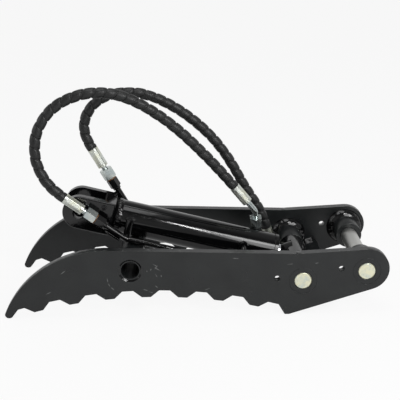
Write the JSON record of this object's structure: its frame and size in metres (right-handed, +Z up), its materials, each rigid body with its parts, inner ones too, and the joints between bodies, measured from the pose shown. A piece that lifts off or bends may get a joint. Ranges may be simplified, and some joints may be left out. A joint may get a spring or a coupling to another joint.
{
  "type": "excavator thumb",
  "caption": "Hydraulic excavator thumb with two toothed plates, a folded-down cylinder and hoses standing up.",
  "frame": {"origin": "on the ground, under the middle of the thumb without its hoses, half way between the plates", "axes": "+Z up, +X from the toothed tip to the pivot end, +Y from the near plate to the far plate"},
  "size_m": [0.5492, 0.19, 0.3174],
  "materials": {
    "plate_paint": "satin",
    "cylinder_paint": "gloss",
    "zinc_plate": "bright zinc plate",
    "yellow_zinc": "yellow zinc plate",
    "machined_steel": "machined",
    "hard_chrome": "polished",
    "bush_bronze": "machined",
    "seal_rubber": "matte",
    "orange_seal": "satin",
    "guide_plastic": "matte",
    "hose_rubber": "satin"
  },
  "bodies": {
    "thumb": {"side_plate_near": "plate_paint", "side_plate_far": "plate_paint", "cross_tube": "plate_paint", "cross_tube_welds": "plate_paint", "cylinder_boss_near": "plate_paint", "cylinder_boss_far": "plate_paint", "pivot_boss_near": "plate_paint", "pivot_boss_far": "plate_paint", "boss_welds_near": "plate_paint", "boss_welds_far": "plate_paint", "cylinder_pin": "yellow_zinc", "pivot_pin": "yellow_zinc", "heel_bar": "plate_paint", "heel_bar_welds": "plate_paint"},
    "rod": {"rod": "hard_chrome", "rod_eye": "cylinder_paint", "rod_eye_weld": "cylinder_paint", "eye_bushes": "bush_bronze", "piston": "machined_steel", "piston_seal": "seal_rubber", "piston_wear_ring": "guide_plastic", "piston_nut": "machined_steel"},
    "barrel": {"barrel_tube": "cylinder_paint", "base_adapter": "cylinder_paint", "base_bracket": "cylinder_paint", "base_clevis": "cylinder_paint", "base_line": "cylinder_paint", "base_port_boss": "cylinder_paint", "base_weld": "cylinder_paint", "free_ferrule_far": "zinc_plate", "free_ferrule_near": "zinc_plate", "free_nipple_far": "zinc_plate", "free_nipple_near": "zinc_plate", "free_nut_far": "zinc_plate", "free_nut_near": "zinc_plate", "gallery_plug": "machined_steel", "gland_o_ring": "seal_rubber", "head_adapter": "cylinder_paint", "head_bracket": "cylinder_paint", "head_gland": "cylinder_paint", "head_line": "cylinder_paint", "head_port_boss": "cylinder_paint", "hose_far": "hose_rubber", "hose_near": "hose_rubber", "line_ferrule_far": "zinc_plate", "line_ferrule_near": "zinc_plate", "line_nipple_far": "zinc_plate", "line_nipple_near": "zinc_plate", "line_nut_far": "zinc_plate", "line_nut_near": "zinc_plate", "pipe_standoff": "cylinder_paint", "rod_seal": "seal_rubber", "seal_rings": "orange_seal", "standoff_weld": "cylinder_paint", "wiper_seal": "seal_rubber"}
  },
  "joints": [
    {"name": "cylinder_hinge", "type": "hinge", "parent": "thumb", "child": "rod", "pos_m": [0.15145, 0, 0.0523], "axis": [0, 1, 0], "range_deg": [0, 100]},
    {"name": "cylinder_stroke", "type": "slide", "parent": "rod", "child": "barrel", "axis": [-0.969, 0, 0.247], "range_m": [0, 0.135]}
  ]
}
